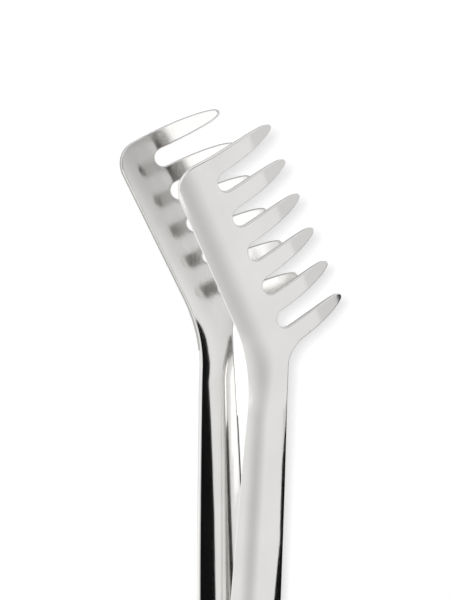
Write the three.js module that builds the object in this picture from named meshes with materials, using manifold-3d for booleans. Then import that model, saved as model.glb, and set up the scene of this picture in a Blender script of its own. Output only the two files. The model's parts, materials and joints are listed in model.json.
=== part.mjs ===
// Spaghetti tongs: two pressed sheet-steel arms with combs of curved tines, sprung open on a rivet hinge.
// Millimetres, +Z up. The tongs lie on the rear arm's outer face, handles along Y, heads towards +Y.

import * as THREE from 'three';
import { mergeVertices } from 'three/addons/utils/BufferGeometryUtils.js';
import Module from 'manifold-3d';

// Sheet and stance
const SHEET = 1.5;
const OPEN_ANGLE = THREE.MathUtils.degToRad(10.5);
const TIP_GAP = 0.9; // between opposite tine tips when the arms are pressed parallel

// Handle
const HANDLE_LENGTH = 159; // hinge axis to neck
const NECK_WIDTH = 11.3;
const NECK_FLARE = 0.039; // how fast half the width grows just below the neck
const BUTT_OVERHANG = 8.5; // handle beyond the hinge axis
const BUTT_RADIUS = 5.6;
const DISH_RADIUS = 12.5;

// Head, measured in a frame that leans to the left of the handle at the neck
const HEAD_LEAN = THREE.MathUtils.degToRad(26);
const BACK_EDGE = -2.3; // back edge of the plate, from the handle axis
const SLOT_FLOOR = 9.2;
const TINE_REACH = 32;
const TINE_COUNT = 6;
const TINE_PITCH = 11.5;
const TINE_WIDTH = 5.8;
const FIRST_TINE = 10.5; // centre line of the tine next to the neck
const CORNER_RADIUS = 7.5;
const NECK_BACK_RADIUS = 50;
const NECK_TINE_RADIUS = 8.7;
const FLAT_START = 5; // flat band along the head, from which the plate curves in on both sides
const FLAT_WIDTH = 3;
const PLATE_RADIUS = 19.5;
const TINE_START = 13; // from here on the tines curve less than the plate
const TINE_RADIUS = 52;
const TIP_BLUNTNESS = 0.4; // exponent of the tine's outline, lower is blunter
const NECK_BLEND = [-10, 16]; // where the handle's dish gives way to the head's curve, along Y from the neck

// Hinge
const PIN_RADIUS = 1.6;
const PIN_HEAD_RADIUS = 3.3;
const PIN_HEAD_HEIGHT = 1.5;
const RUNNING_GAP = 0.3;
const EAR_CLEARANCE = 0.5; // from the end of an outer ear to the other arm's sheet
const EAR_MARGIN = 0.3; // handle edge beyond the outer ear
const EAR_FOOT = 5; // how far the ear's root widens along the handle
const WASHER_THICKNESS = 0.5;
const WASHER_RADIUS = 3.5;
const SPRING_ROOM = 9.5; // between the inner ears

// Spring
const BUSH_WALL = 0.9;
const WIRE_DIAMETER = 1.2;
const COIL_CLEARANCE = 0.6; // bush to wire
const COIL_TURNS = 4; // whole turns, besides the half turn between the legs
const LEG_LENGTH = 26;
const LEG_BEND = 1.6;
const FOOT_OFFSET = 1; // of each leg's foot from the middle of the handle

// Facet counts
const ROUND_SIDES = 20;
const ARC_STEPS = 7;
const TINE_STEPS = 7;
const BLEND_STEPS = 8;
const SHEET_STEP = 3;
const SHEET_SPARE = 1.5; // curved sheet beyond the outline that trims it
const COIL_STEPS = 8;
const WIRE_SIDES = 5;
const BEND_STEPS = 3;

// Derived sizes
const boreRadius = PIN_RADIUS + RUNNING_GAP;
const innerEar = SPRING_ROOM / 2;
const earWasher = innerEar + SHEET + RUNNING_GAP;
const outerEar = earWasher + WASHER_THICKNESS + RUNNING_GAP;
const headWasher = outerEar + SHEET + RUNNING_GAP;
const pinShoulder = headWasher + WASHER_THICKNESS + RUNNING_GAP;
const buttHalf = outerEar + SHEET + EAR_MARGIN;
const bushRadius = boreRadius + BUSH_WALL;
const coilRadius = bushRadius + COIL_CLEARANCE + WIRE_DIAMETER / 2;
const flatEnd = FLAT_START + FLAT_WIDTH;
const crownHeight = headDrop(TINE_REACH) + SHEET / 2 + TIP_GAP / 2;
const hingeHeight = crownHeight + SHEET / 2;
const tineHalf = TINE_WIDTH / 2;
const slotRadius = (TINE_PITCH - TINE_WIDTH) / 2;
const tineTaper = TINE_REACH - SLOT_FLOOR - slotRadius;
const headTop = FIRST_TINE + (TINE_COUNT - 1) * TINE_PITCH + tineHalf;

const wasm = await Module();
wasm.setup();

// Joining and cutting closed meshes
function toSolid(geometry) {
  const bare = geometry.clone();
  bare.deleteAttribute('normal');
  bare.deleteAttribute('uv');
  const merged = mergeVertices(bare);
  const vertProperties = Float32Array.from(merged.attributes.position.array);
  const triVerts = Uint32Array.from(merged.index.array);
  return new wasm.Manifold(new wasm.Mesh({ numProp: 3, vertProperties, triVerts }));
}

function toGeometry(solid) {
  const mesh = solid.getMesh();
  const geometry = new THREE.BufferGeometry();
  geometry.setAttribute('position', new THREE.BufferAttribute(mesh.vertProperties, 3));
  geometry.setIndex(new THREE.BufferAttribute(mesh.triVerts, 1));
  geometry.computeVertexNormals();
  return geometry;
}

function fromTriangles(points, triangles) {
  const geometry = new THREE.BufferGeometry();
  geometry.setAttribute('position', new THREE.Float32BufferAttribute(points.flat(), 3));
  geometry.setIndex(triangles.flat());
  geometry.computeVertexNormals();
  return geometry;
}

// Frames: arm coordinates have the hinge axis at their origin, head coordinates lean at the neck
const alongTines = new THREE.Vector2(Math.cos(HEAD_LEAN), Math.sin(HEAD_LEAN));
const alongRow = new THREE.Vector2(-alongTines.y, alongTines.x);
const neck = new THREE.Vector2(0, HANDLE_LENGTH);

function headPoint(u, v) {
  return neck.clone().addScaledVector(alongTines, u).addScaledVector(alongRow, v);
}

// How far the sheet drops from the crown plane towards the other arm
function handleDrop(x) {
  return x ** 2 / (2 * DISH_RADIUS);
}

function headDrop(u) {
  const back = Math.max(0, FLAT_START - u);
  const plate = Math.max(0, Math.min(u, TINE_START) - flatEnd);
  const tine = Math.max(0, u - TINE_START);
  return (back ** 2 + plate * (plate + 2 * tine)) / (2 * PLATE_RADIUS) + tine ** 2 / (2 * TINE_RADIUS);
}

function middleHeight(x, y) {
  const offset = new THREE.Vector2(x, y).sub(neck);
  const blend = THREE.MathUtils.smoothstep(offset.y, ...NECK_BLEND);
  const drop = (1 - blend) * handleDrop(x) + blend * headDrop(offset.dot(alongTines));
  return crownHeight - drop;
}

function halfThickness(x, y) {
  const probe = 0.01;
  const slopeX = (middleHeight(x + probe, y) - middleHeight(x - probe, y)) / (2 * probe);
  const slopeY = (middleHeight(x, y + probe) - middleHeight(x, y - probe)) / (2 * probe);
  return SHEET / 2 * Math.hypot(1, slopeX, slopeY);
}

function innerHeight(x, y) {
  return middleHeight(x, y) - halfThickness(x, y);
}

// Curved sheet, larger than the arm: rungs across the handle, a fan at the neck, rungs across the head
function sheetRungs() {
  const flank = Math.ceil((buttHalf + SHEET_SPARE) / SHEET_STEP) * SHEET_STEP;
  const last = TINE_REACH + SHEET_SPARE - FLAT_START;
  const stations = [];
  for (let s = -flank; s < last + SHEET_STEP; s += SHEET_STEP) stations.push(s);
  const acrossHead = (s) => s > 0 ? flatEnd + s - SHEET_STEP : FLAT_START + s;
  const headFoot = (NECK_BLEND[1] - BACK_EDGE * alongTines.y) / alongRow.y;
  const rungs = [stations.map((s) => new THREE.Vector2(s, -BUTT_OVERHANG - SHEET_SPARE))];
  const handleRung = stations.map((s) => new THREE.Vector2(s, HANDLE_LENGTH + NECK_BLEND[0]));
  const headRung = stations.map((s) => headPoint(acrossHead(s), headFoot));
  for (let i = 0; i <= BLEND_STEPS; i++) {
    rungs.push(handleRung.map((point, k) => point.clone().lerp(headRung[k], i / BLEND_STEPS)));
  }
  rungs.push(stations.map((s) => headPoint(acrossHead(s), headTop + SHEET_SPARE)));
  return rungs;
}

function curvedSheet(side) {
  const rungs = sheetRungs();
  const rows = rungs.length;
  const columns = rungs[0].length;
  const layer = (sign) => rungs.flat().map((p) => {
    return [p.x, p.y, side * middleHeight(p.x, p.y) + sign * halfThickness(p.x, p.y)];
  });
  const points = [...layer(-1), ...layer(1)];
  const upper = rows * columns;
  const triangles = [];
  const quad = (a, b, c, d) => triangles.push([a, b, c], [a, c, d]);
  for (let r = 0; r + 1 < rows; r++) {
    for (let c = 0; c + 1 < columns; c++) {
      const corner = [r * columns + c, r * columns + c + 1, (r + 1) * columns + c + 1, (r + 1) * columns + c];
      quad(...corner.map((i) => i + upper));
      quad(...corner.reverse());
    }
  }
  const rim = [];
  for (let c = 0; c < columns; c++) rim.push(c);
  for (let r = 1; r < rows; r++) rim.push(r * columns + columns - 1);
  for (let c = columns - 2; c >= 0; c--) rim.push((rows - 1) * columns + c);
  for (let r = rows - 2; r > 0; r--) rim.push(r * columns);
  rim.forEach((a, i) => {
    const b = rim[(i + 1) % rim.length];
    quad(a, b, b + upper, a + upper);
  });
  return fromTriangles(points, triangles);
}

// Outline of the arm, anticlockwise from the right of the butt
function tineHalfWidth(fromTip) {
  const left = 1 - fromTip / tineTaper;
  return tineHalf * (1 - left ** 2) ** TIP_BLUNTNESS;
}

function crossing(p, d, q, e) {
  const gap = q.clone().sub(p);
  return p.clone().addScaledVector(d, gap.cross(e) / d.cross(e));
}

// Line towards a corner, then an arc of the given radius that leaves it along the second direction
function roundCorner(shape, corner, before, after, radius) {
  const turn = Math.atan2(before.cross(after), before.dot(after));
  const side = Math.sign(turn);
  const start = corner.clone().addScaledVector(before, -radius * Math.tan(Math.abs(turn) / 2));
  const centre = start.clone().add(new THREE.Vector2(-before.y, before.x).multiplyScalar(side * radius));
  const from = Math.atan2(start.y - centre.y, start.x - centre.x);
  shape.lineTo(start.x, start.y);
  shape.absarc(centre.x, centre.y, radius, from, from + turn, turn < 0);
}

function addTine(shape, centreLine) {
  const along = Array.from({ length: TINE_STEPS + 1 }, (_, i) => tineTaper * (1 - i / TINE_STEPS) ** 2);
  const outward = along.map((s) => headPoint(TINE_REACH - s, centreLine - tineHalfWidth(s)));
  const inward = along.slice(0, -1).map((s) => headPoint(TINE_REACH - s, centreLine + tineHalfWidth(s)));
  [...outward, ...inward.reverse()].forEach((p) => shape.lineTo(p.x, p.y));
}

function addSlotFloor(shape, centreLine) {
  const centre = headPoint(SLOT_FLOOR + slotRadius, centreLine);
  const start = HEAD_LEAN - Math.PI / 2;
  shape.absarc(centre.x, centre.y, slotRadius, start, start - Math.PI, true);
}

function armOutline() {
  const neckHalf = NECK_WIDTH / 2;
  const flareHalf = neckHalf + NECK_FLARE * HANDLE_LENGTH / 2;
  const upRight = new THREE.Vector2(-NECK_FLARE, 1).normalize();
  const downLeft = new THREE.Vector2(-NECK_FLARE, -1).normalize();
  const tineEdge = headPoint(0, FIRST_TINE - tineHalf);
  const backFoot = headPoint(BACK_EDGE, 0);
  const rightNeck = new THREE.Vector2(neckHalf, HANDLE_LENGTH);
  const leftNeck = new THREE.Vector2(-neckHalf, HANDLE_LENGTH);
  const tineCorner = crossing(rightNeck, upRight, tineEdge, alongTines);
  const backCorner = crossing(leftNeck, downLeft, backFoot, alongRow);
  const shape = new THREE.Shape();
  shape.moveTo(buttHalf, 0);
  shape.quadraticCurveTo(flareHalf, HANDLE_LENGTH / 2, rightNeck.x, rightNeck.y);
  roundCorner(shape, tineCorner, upRight, alongTines, NECK_TINE_RADIUS);
  for (let i = 0; i < TINE_COUNT; i++) {
    const centreLine = FIRST_TINE + i * TINE_PITCH;
    addTine(shape, centreLine);
    if (i + 1 < TINE_COUNT) addSlotFloor(shape, centreLine + TINE_PITCH / 2);
  }
  const backwards = alongTines.clone().negate();
  const towardsNeck = alongRow.clone().negate();
  roundCorner(shape, headPoint(BACK_EDGE, headTop), backwards, towardsNeck, CORNER_RADIUS);
  roundCorner(shape, backCorner, towardsNeck, downLeft, NECK_BACK_RADIUS);
  shape.quadraticCurveTo(-flareHalf, HANDLE_LENGTH / 2, -buttHalf, 0);
  const towardsButt = new THREE.Vector2(0, -1);
  const acrossButt = new THREE.Vector2(1, 0);
  const fromButt = towardsButt.clone().negate();
  roundCorner(shape, new THREE.Vector2(-buttHalf, -BUTT_OVERHANG), towardsButt, acrossButt, BUTT_RADIUS);
  roundCorner(shape, new THREE.Vector2(buttHalf, -BUTT_OVERHANG), acrossButt, fromButt, BUTT_RADIUS);
  return shape;
}

function outlineBlock() {
  const height = 2 * (crownHeight + SHEET);
  const settings = { depth: height, bevelEnabled: false, curveSegments: ARC_STEPS };
  return new THREE.ExtrudeGeometry(armOutline(), settings).translate(0, 0, -height / 2);
}

// Hinge ear: a tab from the handle's flank to beyond the hinge axis, with the pin's bore
const earRadius = innerHeight(outerEar + SHEET, 0) - EAR_CLEARANCE;

function hingeEar(innerFace, side) {
  const root = side * middleHeight(innerFace + SHEET / 2, 0);
  const shape = new THREE.Shape();
  shape.moveTo(-earRadius, 0);
  shape.lineTo(-earRadius, root);
  shape.lineTo(earRadius + EAR_FOOT, root);
  shape.quadraticCurveTo(earRadius, root / 2, earRadius, 0);
  shape.absarc(0, 0, earRadius, 0, -side * Math.PI, side > 0);
  const bore = new THREE.Path();
  bore.absarc(0, 0, boreRadius, 0, 2 * Math.PI, false);
  shape.holes.push(bore);
  const settings = { depth: SHEET, bevelEnabled: false, curveSegments: ROUND_SIDES };
  const upright = new THREE.Matrix4().makeBasis(
    new THREE.Vector3(0, 1, 0),
    new THREE.Vector3(0, 0, 1),
    new THREE.Vector3(1, 0, 0),
  );
  return new THREE.ExtrudeGeometry(shape, settings).applyMatrix4(upright);
}

function arm(side, earFace) {
  let solid = toSolid(curvedSheet(side)).intersect(toSolid(outlineBlock()));
  for (const left of [earFace, -earFace - SHEET]) {
    const ear = hingeEar(earFace, side).translate(left, 0, 0);
    solid = solid.add(toSolid(ear));
  }
  return toGeometry(solid);
}

// Turned pieces, made about Y and laid along the hinge axis
function turned(profile) {
  const points = profile.map(([radius, along]) => new THREE.Vector2(radius, along));
  return new THREE.LatheGeometry(points, ROUND_SIDES).rotateZ(-Math.PI / 2);
}

function hingePin() {
  const half = [[PIN_RADIUS, pinShoulder]];
  for (let i = ARC_STEPS; i >= 0; i--) {
    const fromTop = i / ARC_STEPS * Math.PI / 2;
    half.push([PIN_HEAD_RADIUS * Math.sin(fromTop), pinShoulder + PIN_HEAD_HEIGHT * Math.cos(fromTop)]);
  }
  const otherHalf = half.map(([radius, along]) => [radius, -along]).reverse();
  return turned([...otherHalf, ...half]);
}

function ring(bore, radius, length) {
  const end = length / 2;
  return turned([[bore, -end], [radius, -end], [radius, end], [bore, end], [bore, -end]]);
}

// Torsion spring: rear leg, coil and front leg on one unbroken wire
function springPath() {
  const coilEnd = innerEar - RUNNING_GAP - WIRE_DIAMETER / 2;
  const turnedBack = new THREE.Vector3(1, 0, 0);
  const leg = (side) => {
    const foot = innerHeight(FOOT_OFFSET, LEG_LENGTH) - RUNNING_GAP;
    const points = [[LEG_LENGTH, foot]];
    for (let i = 0; i <= BEND_STEPS; i++) {
      const angle = i / BEND_STEPS * Math.PI / 2;
      const along = LEG_LENGTH - LEG_BEND * (1 - Math.cos(angle));
      points.push([along, coilRadius + LEG_BEND * (1 - Math.sin(angle))]);
    }
    points.push([0, coilRadius]);
    return points.map(([along, out]) => {
      const across = THREE.MathUtils.lerp(coilEnd, FOOT_OFFSET, along / LEG_LENGTH);
      const point = new THREE.Vector3(side * across, along, side * out);
      return side > 0 ? point.applyAxisAngle(turnedBack, OPEN_ANGLE) : point;
    });
  };
  const sweep = 2 * Math.PI * COIL_TURNS + Math.PI - OPEN_ANGLE;
  const steps = Math.ceil(sweep / (2 * Math.PI) * COIL_STEPS);
  const coil = [];
  for (let i = 1; i < steps; i++) {
    const angle = -Math.PI / 2 - sweep * i / steps;
    const along = THREE.MathUtils.lerp(-coilEnd, coilEnd, i / steps);
    coil.push(new THREE.Vector3(along, coilRadius * Math.cos(angle), coilRadius * Math.sin(angle)));
  }
  return [...leg(-1), ...coil, ...leg(1).reverse()];
}

function sweptWire(path) {
  const last = path.length - 1;
  const heading = path.map((p, i) => {
    return path[Math.min(i + 1, last)].clone().sub(path[Math.max(i - 1, 0)]).normalize();
  });
  const across = new THREE.Vector3(1, 0, 0);
  const points = [];
  path.forEach((p, i) => {
    across.addScaledVector(heading[i], -across.dot(heading[i])).normalize();
    const up = heading[i].clone().cross(across);
    for (let k = 0; k < WIRE_SIDES; k++) {
      const angle = 2 * Math.PI * k / WIRE_SIDES;
      const rim = p.clone();
      rim.addScaledVector(across, WIRE_DIAMETER / 2 * Math.cos(angle));
      rim.addScaledVector(up, WIRE_DIAMETER / 2 * Math.sin(angle));
      points.push(rim.toArray());
    }
  });
  const triangles = [];
  for (let i = 0; i < last; i++) {
    for (let k = 0; k < WIRE_SIDES; k++) {
      const a = i * WIRE_SIDES + k;
      const b = i * WIRE_SIDES + (k + 1) % WIRE_SIDES;
      triangles.push([a, b, b + WIRE_SIDES], [a, b + WIRE_SIDES, a + WIRE_SIDES]);
    }
  }
  for (let k = 1; k + 1 < WIRE_SIDES; k++) {
    const end = last * WIRE_SIDES;
    triangles.push([0, k + 1, k], [end, end + k, end + k + 1]);
  }
  return fromTriangles(points, triangles);
}

// Least gap between stretches of the wire that lie more than half a turn apart along it
function leastGap(path) {
  let least = Infinity;
  for (let i = 0; i < path.length; i++) {
    for (let j = i + COIL_STEPS / 2; j < path.length; j++) {
      least = Math.min(least, path[i].distanceTo(path[j]));
    }
  }
  return least - WIRE_DIAMETER;
}

// Materials
function steel(color, roughness) {
  return new THREE.MeshStandardMaterial({ color, roughness, metalness: 1 });
}

const polishedSteel = steel(0xd9d7d4, 0.12);
const rivetSteel = steel(0xc9c8c6, 0.2);
const washerSteel = steel(0xb9b8b6, 0.3);
const springSteel = steel(0xa9a9ab, 0.25);

// Assembly
const tongs = new THREE.Group();
const frontHalf = new THREE.Group();
frontHalf.rotation.x = OPEN_ANGLE;
tongs.add(frontHalf);

function place(parent, name, geometry, material, along = 0) {
  const mesh = new THREE.Mesh(geometry, material);
  mesh.name = name;
  mesh.position.x = along;
  parent.add(mesh);
}

place(tongs, 'rear_arm', arm(-1, outerEar), polishedSteel);
place(frontHalf, 'front_arm', arm(1, innerEar), polishedSteel);
place(tongs, 'hinge_pin', hingePin(), rivetSteel);
for (const [name, side] of [['left', -1], ['right', 1]]) {
  const washer = ring(boreRadius, WASHER_RADIUS, WASHER_THICKNESS);
  place(tongs, `head_washer_${name}`, washer, washerSteel, side * (headWasher + WASHER_THICKNESS / 2));
  place(tongs, `ear_washer_${name}`, washer.clone(), washerSteel, side * (earWasher + WASHER_THICKNESS / 2));
}
place(tongs, 'spring_bush', ring(boreRadius, bushRadius, 2 * (innerEar - RUNNING_GAP)), rivetSteel);
const wire = springPath();
place(tongs, 'torsion_spring', sweptWire(wire), springSteel);
console.log(`least gap between turns of the spring: ${leastGap(wire).toFixed(2)} mm`);

// Stand the tongs on the rear arm's crown, with the origin under the middle of the whole
tongs.updateMatrixWorld(true);
const middle = new THREE.Box3().setFromObject(tongs, true).getCenter(new THREE.Vector3());
tongs.position.set(-middle.x, -middle.y, hingeHeight);

export default tongs;
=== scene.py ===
"""Spaghetti tongs in polished steel: two pressed arms with comb heads, a rivet hinge and a torsion spring.

Metres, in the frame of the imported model: the rear arm lies on the floor, handles along Y, heads towards +Y.
"""

import json
import math

import bmesh
import bpy
from mathutils import Matrix, Vector
from mathutils.geometry import delaunay_2d_cdt
from mathutils.kdtree import KDTree


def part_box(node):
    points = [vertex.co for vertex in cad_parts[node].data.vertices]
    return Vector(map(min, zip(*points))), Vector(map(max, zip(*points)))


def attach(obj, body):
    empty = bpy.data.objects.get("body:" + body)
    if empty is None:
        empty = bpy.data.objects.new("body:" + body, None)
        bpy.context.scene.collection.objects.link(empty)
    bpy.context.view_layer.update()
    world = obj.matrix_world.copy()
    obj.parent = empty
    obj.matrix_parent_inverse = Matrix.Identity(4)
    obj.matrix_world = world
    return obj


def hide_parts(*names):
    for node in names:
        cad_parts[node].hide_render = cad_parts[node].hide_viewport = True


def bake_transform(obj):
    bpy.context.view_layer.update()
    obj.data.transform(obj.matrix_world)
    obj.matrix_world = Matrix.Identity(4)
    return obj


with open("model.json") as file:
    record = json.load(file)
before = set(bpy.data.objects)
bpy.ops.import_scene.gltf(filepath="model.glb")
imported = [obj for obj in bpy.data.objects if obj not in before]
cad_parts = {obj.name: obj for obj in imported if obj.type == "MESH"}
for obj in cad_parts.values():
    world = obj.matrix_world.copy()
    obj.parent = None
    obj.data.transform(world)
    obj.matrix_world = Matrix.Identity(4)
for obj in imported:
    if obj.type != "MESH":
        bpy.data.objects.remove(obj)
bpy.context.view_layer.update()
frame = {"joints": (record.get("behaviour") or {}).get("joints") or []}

MM = 0.001

# Stance, read from the hinge
hinge_joint = frame["joints"][0]
HINGE = Vector(hinge_joint["pos_m"])
OPEN_ANGLE = math.radians(hinge_joint["range_deg"][1])

# Sheet
SHEET = 1.5 * MM
EDGE_RADIUS = 0.35 * MM
TIP_GAP = 0.9 * MM  # between opposite tine tips when the arms are parallel

# Handle
HANDLE_LENGTH = 159 * MM
NECK_HALF = 5.65 * MM
NECK_FLARE = 0.039
BUTT_HALF = 9.15 * MM
BUTT_OVERHANG = 8.5 * MM
BUTT_RADIUS = 5.6 * MM
DISH_RADIUS = 12.5 * MM

# Head, in a frame that leans to the left of the handle at the neck
HEAD_LEAN = math.radians(26)
BACK_EDGE = -2.3 * MM
SLOT_FLOOR = 9.2 * MM
TINE_REACH = 32 * MM
TINE_COUNT = 6
TINE_PITCH = 11.5 * MM
TINE_HALF = 2.9 * MM
FIRST_TINE = 10.5 * MM
CORNER_RADIUS = 7.5 * MM
NECK_BACK_RADIUS = 50 * MM
NECK_TINE_RADIUS = 8.7 * MM
FLAT_START = 5 * MM  # flat band along the head, from which the plate curves in on both sides
FLAT_WIDTH = 3 * MM
PLATE_RADIUS = 19.5 * MM
TINE_START = 13 * MM  # from here on the tines curve less than the plate
TINE_RADIUS = 52 * MM
TIP_BLUNTNESS = 0.4
BLEND_START = -10 * MM
BLEND_END = 16 * MM

# Hinge
PIN_RADIUS = 1.6 * MM
PIN_HEAD_RADIUS = 3.3 * MM
PIN_HEAD_HEIGHT = 1.5 * MM
PIN_LIP = 0.35 * MM  # straight rim under each dome
BORE_RADIUS = 1.9 * MM
EAR_CLEARANCE = 0.5 * MM  # from the end of an outer ear to the other arm's sheet
EAR_FOOT = 5 * MM
INNER_EAR = 4.75 * MM
OUTER_EAR = 7.35 * MM
EAR_EDGE = 0.3 * MM
WASHER_RADIUS = 3.5 * MM
WASHER_EDGE = 0.15 * MM
BUSH_RADIUS = 2.8 * MM
BUSH_EDGE = 0.2 * MM

# Spring
WIRE_RADIUS = 0.6 * MM
COIL_RADIUS = 4 * MM
COIL_END = 3.85 * MM
COIL_TURNS = 4
LEG_LENGTH = 26 * MM
LEG_BEND = 1.6 * MM
FOOT_OFFSET = 1 * MM
FOOT_GAP = 0.3 * MM

# Derived sizes
SLOT_RADIUS = TINE_PITCH / 2 - TINE_HALF
TINE_TAPER = TINE_REACH - SLOT_FLOOR - SLOT_RADIUS
HEAD_TOP = FIRST_TINE + (TINE_COUNT - 1) * TINE_PITCH + TINE_HALF
FLARE_HALF = NECK_HALF + NECK_FLARE * HANDLE_LENGTH / 2
FLAT_END = FLAT_START + FLAT_WIDTH
TIP_DROP = (TINE_START - FLAT_END) * (2 * TINE_REACH - TINE_START - FLAT_END) / (2 * PLATE_RADIUS)
TIP_DROP += (TINE_REACH - TINE_START) ** 2 / (2 * TINE_RADIUS)
CROWN_HEIGHT = TIP_DROP + SHEET / 2 + TIP_GAP / 2  # middle of the sheet above the hinge axis
EAR_REACH = OUTER_EAR + SHEET
EAR_FLANK = EAR_REACH / DISH_RADIUS  # slope of the dish at an outer ear
EAR_RADIUS = CROWN_HEIGHT - EAR_FLANK * EAR_REACH / 2 - SHEET / 2 * math.hypot(1, EAR_FLANK)
EAR_RADIUS -= EAR_CLEARANCE
QUARTER = math.pi / 2

# Mesh density
BLANK_STEP = 1.0 * MM
HANDLE_STEPS = 160
TINE_STEPS = 30
SLOT_STEPS = 18
ARC_STEPS = 18
EDGE_STEPS = 4
LINE_STEP = 0.9 * MM
SUPPORT = 0.1 * MM  # flat strip just inside a rounded edge
ROUND_STEPS = 64
WIRE_SIDES = 24
BEND_STEPS = 8
LEG_STEPS = 24
TURN_STEPS = 48
SLOPE_STEP = 0.02 * MM  # to each side, where the slope of the sheet is taken
FILL_INSIDE = 1  # fills the inside of an outline with triangles
SHARP_ANGLE = math.radians(40)
FACING_AXIS = 0.9999  # least share of a normal along the axis on the flat of an ear

along_tines = Vector((math.cos(HEAD_LEAN), math.sin(HEAD_LEAN)))
along_row = Vector((-along_tines.y, along_tines.x))
neck = Vector((0, HANDLE_LENGTH))


def head_point(u, v):
    return neck + along_tines * u + along_row * v


# Outlines
def line(a, b, nominal_length):
    """Points from a towards b; the nominal length sets their number, so that all insets have as many."""
    steps = max(1, round(nominal_length / LINE_STEP))
    return [a.lerp(b, i / steps) for i in range(steps)]


def arc(centre, radius, start, turn, steps=ARC_STEPS):
    angles = [start + turn * i / steps for i in range(steps)]
    return [centre + radius * Vector((math.cos(a), math.sin(a))) for a in angles]


def bezier(a, control, b, steps):
    shares = [i / steps for i in range(steps)]
    return [a.lerp(control, t).lerp(control.lerp(b, t), t) for t in shares]


def crossing(p, d, q, e):
    """Where the line through p along d meets the line through q along e."""
    return p + d * ((q - p).cross(e) / d.cross(e))


def round_corner(corner, before, after, radius):
    """Arc that is tangent to both sides of a corner, and its two ends."""
    turn = math.atan2(before.cross(after), before.dot(after))
    reach = radius * math.tan(abs(turn) / 2)
    start = corner - before * reach
    left = Vector((-before.y, before.x))
    centre = start + left * math.copysign(radius, turn)
    first = math.atan2(start.y - centre.y, start.x - centre.x)
    return arc(centre, radius, first, turn), start, corner + after * reach


def tine_edge(centre_line, inset):
    """One tine from its right root round the tip to its left root."""
    taper = TINE_TAPER - inset
    half = TINE_HALF - inset
    shares = [(1 - i / TINE_STEPS) ** (1 / TIP_BLUNTNESS) for i in range(TINE_STEPS + 1)]
    widths = [half * (1 - (1 - q) ** 2) ** TIP_BLUNTNESS for q in shares]
    reaches = [TINE_REACH - inset - taper * q for q in shares]
    right = [head_point(u, centre_line - w) for u, w in zip(reaches, widths)]
    left = [head_point(u, centre_line + w) for u, w in zip(reaches, widths)]
    return right + left[-2:0:-1]


def slot_floor(centre_line, inset):
    centre = head_point(SLOT_FLOOR + SLOT_RADIUS, centre_line)
    return arc(centre, SLOT_RADIUS + inset, HEAD_LEAN - QUARTER, -math.pi, SLOT_STEPS)


def arm_edge(inset):
    """Edge of the arm, anticlockwise from the right of the butt, moved into the metal by the inset."""
    up_right = Vector((-NECK_FLARE, 1)).normalized()
    down_left = Vector((-NECK_FLARE, -1)).normalized()
    right_neck = Vector((NECK_HALF - inset, HANDLE_LENGTH))
    left_neck = Vector((inset - NECK_HALF, HANDLE_LENGTH))
    right_flare = Vector((FLARE_HALF - inset, HANDLE_LENGTH / 2))
    left_flare = Vector((inset - FLARE_HALF, HANDLE_LENGTH / 2))
    right_butt = Vector((BUTT_HALF - inset, 0))
    left_butt = Vector((inset - BUTT_HALF, 0))
    butt_end = inset - BUTT_OVERHANG
    first_edge = head_point(0, FIRST_TINE - TINE_HALF + inset)
    back_foot = head_point(BACK_EDGE + inset, 0)
    down, across, up = Vector((0, -1)), Vector((1, 0)), Vector((0, 1))

    tine_corner = crossing(right_neck, up_right, first_edge, along_tines)
    tine_radius = NECK_TINE_RADIUS + inset
    tine_arc, tine_start, tine_end = round_corner(tine_corner, up_right, along_tines, tine_radius)
    first_root = head_point(SLOT_FLOOR + SLOT_RADIUS, FIRST_TINE - TINE_HALF + inset)
    top = head_point(BACK_EDGE + inset, HEAD_TOP - inset)
    top_arc, top_start, top_end = round_corner(top, -along_tines, -along_row, CORNER_RADIUS - inset)
    last_root = head_point(SLOT_FLOOR + SLOT_RADIUS, HEAD_TOP - inset)
    back_corner = crossing(left_neck, down_left, back_foot, along_row)
    back_radius = NECK_BACK_RADIUS + inset
    back_arc, back_start, back_end = round_corner(back_corner, -along_row, down_left, back_radius)
    left_corner = Vector((left_butt.x, butt_end))
    right_corner = Vector((right_butt.x, butt_end))
    left_arc, left_start, left_end = round_corner(left_corner, down, across, BUTT_RADIUS - inset)
    right_arc, right_start, right_end = round_corner(right_corner, across, up, BUTT_RADIUS - inset)

    edge = bezier(right_butt, right_flare, right_neck, HANDLE_STEPS)
    edge += line(right_neck, tine_start, NECK_HALF) + tine_arc
    edge += line(tine_end, first_root, SLOT_FLOOR)
    for i in range(TINE_COUNT):
        centre_line = FIRST_TINE + i * TINE_PITCH
        edge += tine_edge(centre_line, inset)
        if i + 1 < TINE_COUNT:
            edge += slot_floor(centre_line + TINE_PITCH / 2, inset)
    edge += line(last_root, top_start, SLOT_FLOOR) + top_arc
    edge += line(top_end, back_start, HEAD_TOP) + back_arc
    edge += bezier(back_end, left_flare, left_butt, HANDLE_STEPS)
    edge += line(left_butt, left_start, BUTT_OVERHANG / 2) + left_arc
    edge += line(left_end, right_start, BUTT_HALF) + right_arc
    edge += line(right_end, right_butt, BUTT_OVERHANG / 2)
    return edge


# Meshes
def rounded_rim(thickness, radius, support=0.0):
    """(inset, height) of each loop round a rounded edge, from the upper face to the lower one."""
    upper = [(radius + support, thickness / 2)] if support else []
    for i in range(EDGE_STEPS + 1):
        angle = QUARTER * (1 - i / EDGE_STEPS)
        upper.append((radius * (1 - math.cos(angle)), thickness / 2 - radius * (1 - math.sin(angle))))
    return upper + [(inset, -height) for inset, height in reversed(upper)]


def new_object(name, points, faces, edges=()):
    mesh = bpy.data.meshes.new(name)
    mesh.from_pydata(points, edges, faces)
    obj = bpy.data.objects.new(name, mesh)
    bpy.context.scene.collection.objects.link(obj)
    return obj


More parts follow.
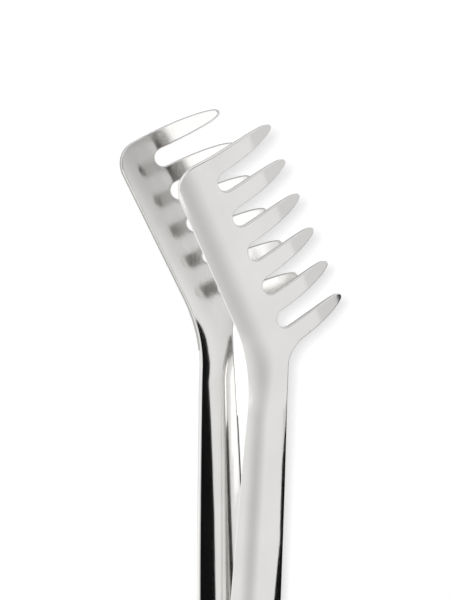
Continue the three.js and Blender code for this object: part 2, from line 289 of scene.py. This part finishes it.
def ring_faces(loops, count, closed):
    """Quads between neighbouring loops that have equally many points."""
    faces = []
    for r in range(loops if closed else loops - 1):
        low, high = r * count, (r + 1) % loops * count
        for i in range(count):
            j = (i + 1) % count
            faces.append((low + i, low + j, high + j, high + i))
    return faces


def inner_points(loop):
    """Staggered rows of points inside a loop, clear of it."""
    tree = KDTree(len(loop))
    for i, p in enumerate(loop):
        tree.insert(p.to_3d(), i)
    tree.balance()
    row_step = BLANK_STEP * math.sqrt(3) / 2
    left = min(p.x for p in loop)
    low = min(p.y for p in loop)
    columns = math.ceil((max(p.x for p in loop) - left) / BLANK_STEP)
    rows = math.ceil((max(p.y for p in loop) - low) / row_step)
    points = []
    for r in range(rows):
        for c in range(columns):
            p = Vector((left + (c + r % 2 / 2) * BLANK_STEP, low + r * row_step))
            if tree.find(p.to_3d())[2] > BLANK_STEP / 2:
                points.append(p)
    return points


def flat_blank(name):
    """Flat arm with rounded edges; its layer attribute is the distance from the middle of the sheet."""
    rim = rounded_rim(SHEET, EDGE_RADIUS, SUPPORT)
    loops = [arm_edge(inset) for inset, _ in rim]
    count = len(loops[0])
    points = [p.to_3d() for loop in loops for p in loop]
    layers = [height for _, height in rim for _ in range(count)]
    faces = [face[::-1] for face in ring_faces(len(loops), count, False)]
    plan = loops[0] + inner_points(loops[0])
    fill = delaunay_2d_cdt(plan, [], [list(range(count))], FILL_INSIDE, 0)
    fill_points, triangles, sources = fill[0], fill[2], fill[3]
    for height, last_loop, order in ((SHEET / 2, 0, 1), (-SHEET / 2, len(loops) - 1, -1)):
        index = {}
        for i, source in enumerate(sources):
            if source and source[0] < count:
                index[i] = last_loop * count + source[0]
        for triangle in triangles:
            for i in triangle:
                if i not in index:
                    index[i] = len(points)
                    points.append(fill_points[i].to_3d())
                    layers.append(height)
            faces.append([index[i] for i in triangle][::order])
    obj = new_object(name, points, faces)
    obj.data.attributes.new("layer", "FLOAT", "POINT").data.foreach_set("value", layers)
    return obj


# Node trees
class Field:
    """A number in a node tree, with ordinary arithmetic."""

    def __init__(self, tree, socket):
        self.tree = tree
        self.socket = socket

    def combine(self, operation, *others):
        node = self.tree.nodes.new("ShaderNodeMath")
        node.operation = operation
        for i, value in enumerate((self, *others)):
            if isinstance(value, Field):
                self.tree.links.new(value.socket, node.inputs[i])
            else:
                node.inputs[i].default_value = value
        return Field(self.tree, node.outputs[0])

    def __add__(self, other):
        return self.combine("ADD", other)

    def __sub__(self, other):
        return self.combine("SUBTRACT", other)

    def __mul__(self, other):
        return self.combine("MULTIPLY", other)

    def __truediv__(self, other):
        return self.combine("DIVIDE", other)

    def squared(self):
        return self * self

    def above_zero(self):
        return self.combine("MAXIMUM", 0.0)


def new_tree(name, sizes):
    """Geometry node tree with a geometry input and one named number input for each size."""
    tree = bpy.data.node_groups.new(name, "GeometryNodeTree")
    tree.interface.new_socket("Geometry", in_out="INPUT", socket_type="NodeSocketGeometry")
    for size in sizes:
        kind = "NodeSocketInt" if isinstance(sizes[size], int) else "NodeSocketFloat"
        tree.interface.new_socket(size, in_out="INPUT", socket_type=kind)
    tree.interface.new_socket("Geometry", in_out="OUTPUT", socket_type="NodeSocketGeometry")
    source = tree.nodes.new("NodeGroupInput")
    fields = {size: Field(tree, source.outputs[size]) for size in sizes}
    return tree, source.outputs["Geometry"], fields


def finish_tree(tree, geometry, material):
    realize = tree.nodes.new("GeometryNodeRealizeInstances")
    paint = tree.nodes.new("GeometryNodeSetMaterial")
    paint.inputs["Material"].default_value = material
    output = tree.nodes.new("NodeGroupOutput")
    tree.links.new(geometry, realize.inputs["Geometry"])
    tree.links.new(realize.outputs["Geometry"], paint.inputs["Geometry"])
    tree.links.new(paint.outputs["Geometry"], output.inputs["Geometry"])


def apply_tree(obj, tree, sizes):
    """Runs a tree on an object and keeps the result as its plain mesh."""
    modifier = obj.modifiers.new(tree.name, "NODES")
    modifier.node_group = tree
    for item in tree.interface.items_tree:
        if item.in_out == "INPUT" and item.name in sizes:
            modifier[item.identifier] = sizes[item.name]
    keep_result(obj)


def keep_result(obj):
    graph = bpy.context.evaluated_depsgraph_get()
    mesh = bpy.data.meshes.new_from_object(obj.evaluated_get(graph))
    obj.modifiers.clear()
    obj.data = mesh


PRESS_SIZES = {
    "Crown height": CROWN_HEIGHT,
    "Neck": HANDLE_LENGTH,
    "Dish radius": DISH_RADIUS,
    "Head lean": HEAD_LEAN,
    "Flat start": FLAT_START,
    "Flat end": FLAT_END,
    "Plate radius": PLATE_RADIUS,
    "Tine start": TINE_START,
    "Tine radius": TINE_RADIUS,
    "Blend start": BLEND_START,
    "Blend end": BLEND_END,
}


def sheet_height(x, y, size):
    """Height of the middle of the pressed sheet: a dished handle that gives way to a curved comb."""
    lean_x = size["Head lean"].combine("COSINE")
    lean_y = size["Head lean"].combine("SINE")
    past_neck = y - size["Neck"]
    u = x * lean_x + past_neck * lean_y
    dish = x.squared() / (size["Dish radius"] * 2.0)
    back = (size["Flat start"] - u).above_zero()
    plate = (u.combine("MINIMUM", size["Tine start"]) - size["Flat end"]).above_zero()
    tine = (u - size["Tine start"]).above_zero()
    comb = (back.squared() + plate * (plate + tine * 2.0)) / (size["Plate radius"] * 2.0)
    comb = comb + tine.squared() / (size["Tine radius"] * 2.0)
    share = (past_neck - size["Blend start"]) / (size["Blend end"] - size["Blend start"])
    share = share.above_zero().combine("MINIMUM", 1.0)
    blend = share.squared() * (share * -2.0 + 3.0)
    return size["Crown height"] - dish - blend * (comb - dish)


def press_tree(material):
    """Presses a flat blank: raises it to the sheet's height and sets each layer off along the normal."""
    tree, blank, size = new_tree("press arm", PRESS_SIZES)
    position = tree.nodes.new("GeometryNodeInputPosition")
    plan = tree.nodes.new("ShaderNodeSeparateXYZ")
    tree.links.new(position.outputs[0], plan.inputs[0])
    x, y = Field(tree, plan.outputs["X"]), Field(tree, plan.outputs["Y"])
    layer = tree.nodes.new("GeometryNodeInputNamedAttribute")
    layer.data_type = "FLOAT"
    layer.inputs["Name"].default_value = "layer"
    offset = Field(tree, layer.outputs["Attribute"])
    step = SLOPE_STEP
    slope_x = (sheet_height(x + step, y, size) - sheet_height(x - step, y, size)) / (2 * step)
    slope_y = (sheet_height(x, y + step, size) - sheet_height(x, y - step, size)) / (2 * step)
    length = (slope_x.squared() + slope_y.squared() + 1.0).combine("SQRT")
    lift = offset / length
    pressed = tree.nodes.new("ShaderNodeCombineXYZ")
    tree.links.new((x - lift * slope_x).socket, pressed.inputs["X"])
    tree.links.new((y - lift * slope_y).socket, pressed.inputs["Y"])
    tree.links.new((lift + sheet_height(x, y, size)).socket, pressed.inputs["Z"])
    move = tree.nodes.new("GeometryNodeSetPosition")
    tree.links.new(blank, move.inputs["Geometry"])
    tree.links.new(pressed.outputs[0], move.inputs["Position"])
    finish_tree(tree, move.outputs["Geometry"], material)
    return tree


WIRE_SIZES = {"Wire radius": WIRE_RADIUS, "Wire sides": WIRE_SIDES}


def wire_tree(material):
    """Draws a round wire along a line of points, with closed ends."""
    tree, path, size = new_tree("draw wire", WIRE_SIZES)
    curve = tree.nodes.new("GeometryNodeMeshToCurve")
    section = tree.nodes.new("GeometryNodeCurvePrimitiveCircle")
    sweep = tree.nodes.new("GeometryNodeCurveToMesh")
    sweep.inputs["Fill Caps"].default_value = True
    tree.links.new(path, curve.inputs["Mesh"])
    tree.links.new(size["Wire sides"].socket, section.inputs["Resolution"])
    tree.links.new(size["Wire radius"].socket, section.inputs["Radius"])
    tree.links.new(curve.outputs["Curve"], sweep.inputs["Curve"])
    tree.links.new(section.outputs["Curve"], sweep.inputs["Profile Curve"])
    finish_tree(tree, sweep.outputs["Mesh"], material)
    return tree


# Materials
NOISE_LOW = 0.3  # the noise mostly stays between these
NOISE_HIGH = 0.7
MARK_DETAIL = 4.0
CLOUD_SCALE = 60.0
CLOUD_DETAIL = 2.0
DARKER = 0.97
LIGHTER = 1.02


def new_material(name):
    material = bpy.data.materials.new(name)
    material.use_nodes = True
    nodes = material.node_tree.nodes
    return material, nodes, material.node_tree.links, nodes["Principled BSDF"]


def stretched_noise(nodes, links, stretch, scale, detail):
    """Noise on Object coordinates, stretched along one axis as polishing marks are."""
    coordinates = nodes.new("ShaderNodeTexCoord")
    mapping = nodes.new("ShaderNodeMapping")
    mapping.inputs["Scale"].default_value = stretch
    noise = nodes.new("ShaderNodeTexNoise")
    noise.inputs["Scale"].default_value = scale
    noise.inputs["Detail"].default_value = detail
    links.new(coordinates.outputs["Object"], mapping.inputs["Vector"])
    links.new(mapping.outputs["Vector"], noise.inputs["Vector"])
    return noise.outputs["Fac"]


def spread(nodes, links, value, low, high):
    """Maps a noise value to a range."""
    ramp = nodes.new("ShaderNodeMapRange")
    ramp.inputs["From Min"].default_value = NOISE_LOW
    ramp.inputs["From Max"].default_value = NOISE_HIGH
    ramp.inputs["To Min"].default_value = low
    ramp.inputs["To Max"].default_value = high
    links.new(value, ramp.inputs["Value"])
    return ramp.outputs["Result"]


def steel(name, color, roughness, stretch, scale, relief):
    """Steel whose tone, gloss and surface vary with fine marks left by its making."""
    material, nodes, links, shader = new_material(name)
    shader.inputs["Metallic"].default_value = 1.0
    marks = stretched_noise(nodes, links, stretch, scale, MARK_DETAIL)
    cloud = stretched_noise(nodes, links, (1, 1, 1), CLOUD_SCALE, CLOUD_DETAIL)
    tone = nodes.new("ShaderNodeMix")
    tone.data_type = "RGBA"
    tone.inputs["A"].default_value = (*[c * DARKER for c in color], 1)
    tone.inputs["B"].default_value = (*[min(1.0, c * LIGHTER) for c in color], 1)
    links.new(spread(nodes, links, cloud, 0.0, 1.0), tone.inputs["Factor"])
    links.new(tone.outputs["Result"], shader.inputs["Base Color"])
    links.new(spread(nodes, links, marks, *roughness), shader.inputs["Roughness"])
    bump = nodes.new("ShaderNodeBump")
    bump.inputs["Strength"].default_value = 1.0
    bump.inputs["Distance"].default_value = relief
    links.new(marks, bump.inputs["Height"])
    links.new(bump.outputs["Normal"], shader.inputs["Normal"])
    return material


SHEET_COLOR = (0.742, 0.734, 0.721)
RIVET_COLOR = (0.70, 0.70, 0.69)
WASHER_COLOR = (0.62, 0.62, 0.61)
WIRE_COLOR = (0.55, 0.55, 0.56)
# Name, colour, range of roughness, stretch and scale of the marks, their relief
polished_steel = steel("polished_sheet", SHEET_COLOR, (0.07, 0.13), (1, 0.06, 1), 2500.0, 0.0004 * MM)
rivet_steel = steel("turned_rivet", RIVET_COLOR, (0.14, 0.26), (0.1, 1, 1), 3000.0, 0.002 * MM)
washer_steel = steel("stamped_washer", WASHER_COLOR, (0.22, 0.38), (1, 1, 1), 2500.0, 0.004 * MM)
spring_steel = steel("drawn_wire", WIRE_COLOR, (0.18, 0.32), (0.2, 1, 1), 2500.0, 0.003 * MM)


# Arms
def ear_edge(root, inset):
    """Edge of a hinge ear in (along the handle, away from the axis), from its far root round the axis."""
    radius = EAR_RADIUS - inset
    steps = 2 * ARC_STEPS
    far_root = Vector((EAR_RADIUS + EAR_FOOT - inset, root - inset))
    near_root = Vector((-radius, root - inset))
    edge = line(far_root, near_root, 2 * EAR_RADIUS + EAR_FOOT)
    edge += line(near_root, Vector((-radius, 0)), root)
    edge += arc(Vector((0, 0)), radius, math.pi, math.pi, steps)
    edge += bezier(Vector((radius, 0)), Vector((radius, root / 2)), far_root, steps)
    return edge


def sheet_drop(x):
    """Drop of the dished handle at a distance from its middle line."""
    return x ** 2 / (2 * DISH_RADIUS)


def hinge_ear(name, middle):
    """Ear plate centred at middle, with its bore on the axis."""
    root = CROWN_HEIGHT - sheet_drop(middle)
    rim = rounded_rim(SHEET, EAR_EDGE, SUPPORT)
    angles = [math.atan2(p.y, p.x) for p in ear_edge(root, 0)]
    loops = []
    for inset, height in rim:
        loops.append([(middle + height, p.x, p.y) for p in ear_edge(root, inset)])
    for inset, height in reversed(rim):
        radius = BORE_RADIUS + inset
        loops.append([(middle + height, radius * math.cos(a), radius * math.sin(a)) for a in angles])
    points = [p for loop in loops for p in loop]
    return new_object(name, points, ring_faces(len(loops), len(angles), True))


def outward(obj):
    """Turns the faces of a closed mesh outwards."""
    volume = 0.0
    mesh = obj.data
    mesh.calc_loop_triangles()
    for triangle in mesh.loop_triangles:
        a, b, c = (mesh.vertices[i].co for i in triangle.vertices)
        volume += a.dot(b.cross(c))
    if volume < 0:
        mesh.flip_normals()


def join_solid(obj, other):
    join = obj.modifiers.new("join", "BOOLEAN")
    join.operation = "UNION"
    join.solver = "MANIFOLD"
    join.object = other
    keep_result(obj)
    bpy.data.objects.remove(other)


def smooth(obj):
    obj.data.shade_smooth()
    obj.data.set_sharp_from_angle(angle=SHARP_ANGLE)


def keep_ears_flat(mesh):
    """Crisp edges round the flat faces of the ears, the only ones that face straight along the axis."""
    work = bmesh.new()
    work.from_mesh(mesh)
    for edge in work.edges:
        plates = [abs(face.normal.x) > FACING_AXIS for face in edge.link_faces]
        if any(plates) and not all(plates):
            edge.smooth = False
    work.to_mesh(mesh)
    work.free()


def place(obj, node, body):
    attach(obj, body)
    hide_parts(node)


def pressed_arm(name, node, body, ear, stance, tree):
    arm = flat_blank(name)
    apply_tree(arm, tree, PRESS_SIZES)
    for side in (-1, 1):
        tab = hinge_ear(name + "_ear", side * (ear + SHEET / 2))
        tab.data.materials.append(polished_steel)
        outward(tab)
        join_solid(arm, tab)
    arm.data.transform(stance)
    outward(arm)
    smooth(arm)
    keep_ears_flat(arm.data)
    place(arm, node, body)


rear_stance = Matrix.Translation(HINGE) @ Matrix.Diagonal((1, 1, -1, 1))
front_stance = Matrix.Translation(HINGE) @ Matrix.Rotation(OPEN_ANGLE, 4, "X")
press = press_tree(polished_steel)
pressed_arm("rear_pressed_arm", "rear_arm", "rear_half", OUTER_EAR, rear_stance, press)
pressed_arm("front_pressed_arm", "front_arm", "front_half", INNER_EAR, front_stance, press)


# Turned pieces
def turned(name, profile, material, closed):
    """Body of revolution about the hinge axis; the profile is (radius, place along the axis)."""
    points = []
    for radius, along in profile:
        for i in range(ROUND_STEPS):
            angle = 2 * math.pi * i / ROUND_STEPS
            points.append(HINGE + Vector((along, radius * math.cos(angle), radius * math.sin(angle))))
    faces = ring_faces(len(profile), ROUND_STEPS, closed)
    if not closed:
        last = (len(profile) - 1) * ROUND_STEPS
        faces.append(tuple(range(ROUND_STEPS))[::-1])
        faces.append(tuple(range(last, last + ROUND_STEPS)))
    obj = new_object(name, points, faces)
    obj.data.materials.append(material)
    outward(obj)
    smooth(obj)
    return obj


def ring_profile(bore, radius, start, end, edge):
    middle = (start + end) / 2
    rim = rounded_rim(end - start, edge)
    outer = [(radius - inset, middle + height) for inset, height in rim]
    inner = [(bore + inset, middle + height) for inset, height in reversed(rim)]
    return outer + inner


def rivet_profile(left, right):
    """Shank between two domed heads, whose undersides are at left and right."""
    dome = [(PIN_RADIUS, 0.0), (PIN_HEAD_RADIUS - PIN_LIP / 2, 0.0)]
    dome += [(PIN_HEAD_RADIUS, PIN_LIP / 2), (PIN_HEAD_RADIUS, PIN_LIP)]
    for i in range(1, ARC_STEPS):
        angle = QUARTER * i / ARC_STEPS
        height = PIN_LIP + (PIN_HEAD_HEIGHT - PIN_LIP) * math.sin(angle)
        dome.append((PIN_HEAD_RADIUS * math.cos(angle), height))
    right_side = [(radius, right + height) for radius, height in dome]
    left_side = [(radius, left - height) for radius, height in reversed(dome)]
    return left_side + right_side


def hinge_place(node):
    """Ends of a hinge piece along the axis, from its CAD box."""
    low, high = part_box(node)
    return low.x - HINGE.x, high.x - HINGE.x


pin_left, pin_right = hinge_place("hinge_pin")
pin_profile = rivet_profile(pin_left + PIN_HEAD_HEIGHT, pin_right - PIN_HEAD_HEIGHT)
rivet = turned("rivet", pin_profile, rivet_steel, False)
place(rivet, "hinge_pin", "rear_half")
for washer_node in ("head_washer_left", "head_washer_right", "ear_washer_left", "ear_washer_right"):
    washer_profile = ring_profile(BORE_RADIUS, WASHER_RADIUS, *hinge_place(washer_node), WASHER_EDGE)
    washer = turned("stamped_" + washer_node, washer_profile, washer_steel, True)
    place(washer, washer_node, "rear_half")
bush_profile = ring_profile(BORE_RADIUS, BUSH_RADIUS, *hinge_place("spring_bush"), BUSH_EDGE)
place(turned("turned_bush", bush_profile, rivet_steel, True), "spring_bush", "rear_half")


# Spring
def spring_path():
    """Rear leg, coil and front leg on one line of points."""
    foot = CROWN_HEIGHT - SHEET / 2 - FOOT_GAP

    def leg(side):
        outline = [(LEG_LENGTH, foot)]
        for i in range(BEND_STEPS + 1):
            angle = QUARTER * i / BEND_STEPS
            along = LEG_LENGTH - LEG_BEND * (1 - math.cos(angle))
            outline.append((along, COIL_RADIUS + LEG_BEND * (1 - math.sin(angle))))
        straight = outline[-1][0]
        outline += [(straight * (1 - i / LEG_STEPS), COIL_RADIUS) for i in range(1, LEG_STEPS + 1)]
        turn = Matrix.Rotation(OPEN_ANGLE if side > 0 else 0, 3, "X")
        points = []
        for along, out in outline:
            across = COIL_END + (FOOT_OFFSET - COIL_END) * along / LEG_LENGTH
            points.append(turn @ Vector((side * across, along, side * out)))
        return points

    sweep = 2 * math.pi * COIL_TURNS + math.pi - OPEN_ANGLE
    steps = COIL_TURNS * TURN_STEPS
    coil = []
    for i in range(1, steps):
        angle = -QUARTER - sweep * i / steps
        along = COIL_END * (2 * i / steps - 1)
        coil.append(Vector((along, COIL_RADIUS * math.cos(angle), COIL_RADIUS * math.sin(angle))))
    return [HINGE + p for p in leg(-1) + coil + leg(1)[::-1]]


path = spring_path()
spring = new_object("wound_spring", path, [], [(i, i + 1) for i in range(len(path) - 1)])
apply_tree(spring, wire_tree(spring_steel), WIRE_SIZES)
outward(spring)
smooth(spring)
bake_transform(spring)
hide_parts("torsion_spring")


# Stage
def seen_or_mirrored(nodes, links):
    """1 for rays from the camera and for rays that polished metal sends on, 0 for the rest."""
    rays = nodes.new("ShaderNodeLightPath")
    seen = nodes.new("ShaderNodeMath")
    seen.operation = "MAXIMUM"
    links.new(rays.outputs["Is Camera Ray"], seen.inputs[0])
    links.new(rays.outputs["Is Glossy Ray"], seen.inputs[1])
    either = nodes.new("ShaderNodeMath")
    either.operation = "MAXIMUM"
    links.new(seen.outputs[0], either.inputs[0])
    links.new(rays.outputs["Is Transmission Ray"], either.inputs[1])
    return either.outputs[0]


def stage_plane(name, half_width, half_height, stance):
    corners = [(-half_width, -half_height, 0), (half_width, -half_height, 0)]
    corners += [(half_width, half_height, 0), (-half_width, half_height, 0)]
    obj = new_object(name, corners, [(0, 1, 2, 3)])
    obj.matrix_world = stance
    return obj


def stage_floor():
    """Pale floor that looks white where nothing shades it."""
    obj = stage_plane("floor", FLOOR_HALF, FLOOR_HALF, Matrix.Translation((0, 0, -FLOOR_DEPTH)))
    material, nodes, links, shader = new_material("pale_floor")
    shader.inputs["Base Color"].default_value = (FLOOR_TONE, FLOOR_TONE, FLOOR_TONE, 1)
    shader.inputs["Roughness"].default_value = 1.0
    shader.inputs["Specular IOR Level"].default_value = 0.0
    lift = nodes.new("ShaderNodeMath")
    lift.operation = "MULTIPLY"
    lift.inputs[1].default_value = FLOOR_LIFT
    links.new(seen_or_mirrored(nodes, links), lift.inputs[0])
    shader.inputs["Emission Color"].default_value = (1, 1, 1, 1)
    links.new(lift.outputs[0], shader.inputs["Emission Strength"])
    obj.data.materials.append(material)


def studio_world():
    """White where it is seen or mirrored, and a plain level of light from all sides."""
    world = bpy.data.worlds.new("studio")
    world.use_nodes = True
    nodes, links = world.node_tree.nodes, world.node_tree.links
    level = nodes.new("ShaderNodeMapRange")
    level.inputs["To Min"].default_value = ROOM_LIGHT
    level.inputs["To Max"].default_value = 1.0
    links.new(seen_or_mirrored(nodes, links), level.inputs["Value"])
    nodes["Background"].inputs["Color"].default_value = (1, 1, 1, 1)
    links.new(level.outputs["Result"], nodes["Background"].inputs["Strength"])
    bpy.context.scene.world = world


def key_lamp(camera):
    """Soft lamp just above and to the left of the camera."""
    light = bpy.data.lights.new("key", "AREA")
    light.shape = "DISK"
    light.size = KEY_SIZE
    light.energy = KEY_POWER
    obj = bpy.data.objects.new("key", light)
    obj.matrix_world = camera.matrix_world @ Matrix.Translation((KEY_SIDE, KEY_RISE, 0))
    obj.visible_glossy = False
    bpy.context.scene.collection.objects.link(obj)


def metal_only(obj, brightness, strength, fade=None):
    """Makes a stage object show in the polished metal alone.

    A soft-edged one has its half width, half height and softness as its fade.
    """
    material = bpy.data.materials.new(obj.name)
    material.use_nodes = True
    nodes, links = material.node_tree.nodes, material.node_tree.links
    nodes.clear()
    glow = nodes.new("ShaderNodeEmission")
    glow.inputs["Strength"].default_value = brightness
    clear = nodes.new("ShaderNodeBsdfTransparent")
    mix = nodes.new("ShaderNodeMixShader")
    output = nodes.new("ShaderNodeOutputMaterial")
    mix.inputs["Fac"].default_value = strength
    links.new(clear.outputs[0], mix.inputs[1])
    links.new(glow.outputs[0], mix.inputs[2])
    links.new(mix.outputs[0], output.inputs["Surface"])
    if fade:
        half_width, half_height, soft = fade
        coordinates = nodes.new("ShaderNodeTexCoord")
        mapping = nodes.new("ShaderNodeMapping")
        mapping.inputs["Scale"].default_value = (1 / half_width, 1 / half_height, 1)
        gradient = nodes.new("ShaderNodeTexGradient")
        gradient.gradient_type = "SPHERICAL"
        ramp = nodes.new("ShaderNodeMapRange")
        ramp.interpolation_type = "SMOOTHSTEP"
        ramp.inputs["From Max"].default_value = soft
        ramp.inputs["To Max"].default_value = strength
        links.new(coordinates.outputs["Object"], mapping.inputs["Vector"])
        links.new(mapping.outputs["Vector"], gradient.inputs["Vector"])
        links.new(gradient.outputs["Fac"], ramp.inputs["Value"])
        links.new(ramp.outputs["Result"], mix.inputs["Fac"])
    obj.data.materials.append(material)
    obj.visible_camera = False
    obj.visible_diffuse = False
    obj.visible_shadow = False
    obj.visible_transmission = False


def card(name, half_width, half_height, stance, brightness, strength, soft):
    """Flat studio card, with a soft edge where softness is given."""
    obj = stage_plane(name, half_width, half_height, stance)
    metal_only(obj, brightness, strength, (half_width, half_height, soft) if soft else None)


def level(x, y, z, turn=0.0):
    """Stance of a level card: its middle, and its turn about the vertical."""
    return Matrix.Translation((x, y, z)) @ Matrix.Rotation(turn, 4, "Z")


def dark_screen():
    """Bent screen that stands on the floor beside the tongs."""
    corners = [(x * MM, y * MM, z * MM) for x, y, top in SCREEN for z in (0, top)]
    faces = [(2 * i, 2 * i + 1, 2 * i + 3, 2 * i + 2) for i in range(len(SCREEN) - 1)]
    obj = new_object("dark_screen", corners, faces)
    metal_only(obj, SCREEN_BRIGHTNESS, 1.0)


# Camera, placed from the middle of the open neck
CAMERA_TILT = math.radians(10.7)
CAMERA_TURN = math.radians(19.204)
CAMERA_ROLL = math.radians(-0.928)
CAMERA_DISTANCE = 611.517 * MM
CAMERA_SIDE = -5.176 * MM
CAMERA_RISE = 20.074 * MM
FOCAL_PIXELS = 2000
FRAME_HEIGHT = 600


def photo_camera():
    camera = bpy.data.cameras.new("camera")
    camera.sensor_fit = "VERTICAL"
    camera.lens = camera.sensor_height * FOCAL_PIXELS / FRAME_HEIGHT
    obj = bpy.data.objects.new("camera", camera)
    half_open = OPEN_ANGLE / 2
    halfway = Matrix.Rotation(half_open, 4, "X")
    reach = HANDLE_LENGTH * math.cos(half_open) - CROWN_HEIGHT * math.sin(half_open)
    turn = Matrix.Rotation(CAMERA_ROLL, 4, "Z") @ Matrix.Rotation(CAMERA_TILT, 4, "X")
    turn = turn @ Matrix.Rotation(CAMERA_TURN, 4, "Y")
    away = Matrix.Translation((CAMERA_SIDE, CAMERA_RISE, CAMERA_DISTANCE))
    middle = Matrix.Translation(HINGE) @ halfway @ Matrix.Translation((0, reach, 0))
    obj.matrix_world = middle @ turn.transposed() @ away
    bpy.context.scene.collection.objects.link(obj)
    bpy.context.scene.camera = obj
    bpy.context.view_layer.update()
    return obj


# Studio light
FLOOR_HALF = 3.0
FLOOR_DEPTH = 0.1 * MM
FLOOR_TONE = 0.8
FLOOR_LIFT = 0.42
ROOM_LIGHT = 0.45
KEY_SIDE = -25 * MM
KEY_RISE = 15 * MM
KEY_SIZE = 50 * MM
KEY_POWER = 1.6
SCREEN_BRIGHTNESS = 0.008
# Screen beside the tongs: x, y and height of its top, mm
SCREEN = (
    (31, -160, 45),
    (31, -18, 45),
    (45, 0, 58),
    (52, 12, 61),
    (61, 24, 61),
    (68, 34, 56),
    (82, 57, 61),
    (90, 75, 62),
)
UNDERLAY_DEPTH = 0.05 * MM
VALLEY_TURN = math.radians(-20)
MARGIN_TURN = math.radians(21)
upright = Matrix.Rotation(-QUARTER, 4, "Y")
leaning = Matrix.Rotation(math.radians(13), 4, "Z")
# Cards: name, half width, half height, stance, brightness, strength, softness of the edge
CARDS = (
    ("horizon_card", 0.5, 1.0, level(0.9, 0.6, 0) @ upright, 0.0, 0.18, None),
    ("left_softbox", 0.068, 0.058, level(-0.132, 0.032, 0.2), 1.4, 1.0, None),
    ("valley_card", 0.52, 0.75, level(-0.12, -0.62, 1.05, VALLEY_TURN), 0.0, 0.3, 1.0),
    ("plate_card", 0.81, 0.40, level(0.26, 0.135, 0.9), 0.0, 0.14, 1.0),
    ("margin_card", 0.40, 0.15, level(0.139, 0.193, 0.25, MARGIN_TURN), 0.0, 0.45, 1.0),
    ("root_card", 0.28, 0.24, level(-0.14, 0.26, 0.73), 0.0, 1.0, 0.4),
    ("handle_underlay", 0.02, 0.047, level(0.031, -0.022, -UNDERLAY_DEPTH), 0.0, 0.95, None),
    ("head_underlay", 0.04, 0.055, leaning @ level(0.0245, 0.101, -UNDERLAY_DEPTH), 0.0, 0.42, None),
    ("slot_underlay", 0.010, 0.011, level(0.012, 0.036, -UNDERLAY_DEPTH), 2.6, 1.0, None),
    ("slot_softbox", 0.0225, 0.0095, level(-0.1075, -0.0355, 0.2), 1.4, 1.0, None),
    ("bright_underlay", 0.2, 0.25, leaning @ level(-0.2155, 0.05, -UNDERLAY_DEPTH), 1.27, 1.0, None),
)

camera = photo_camera()
stage_floor()
studio_world()
key_lamp(camera)
dark_screen()
for row in CARDS:
    card(*row)

bpy.context.scene.view_settings.view_transform = "Standard"
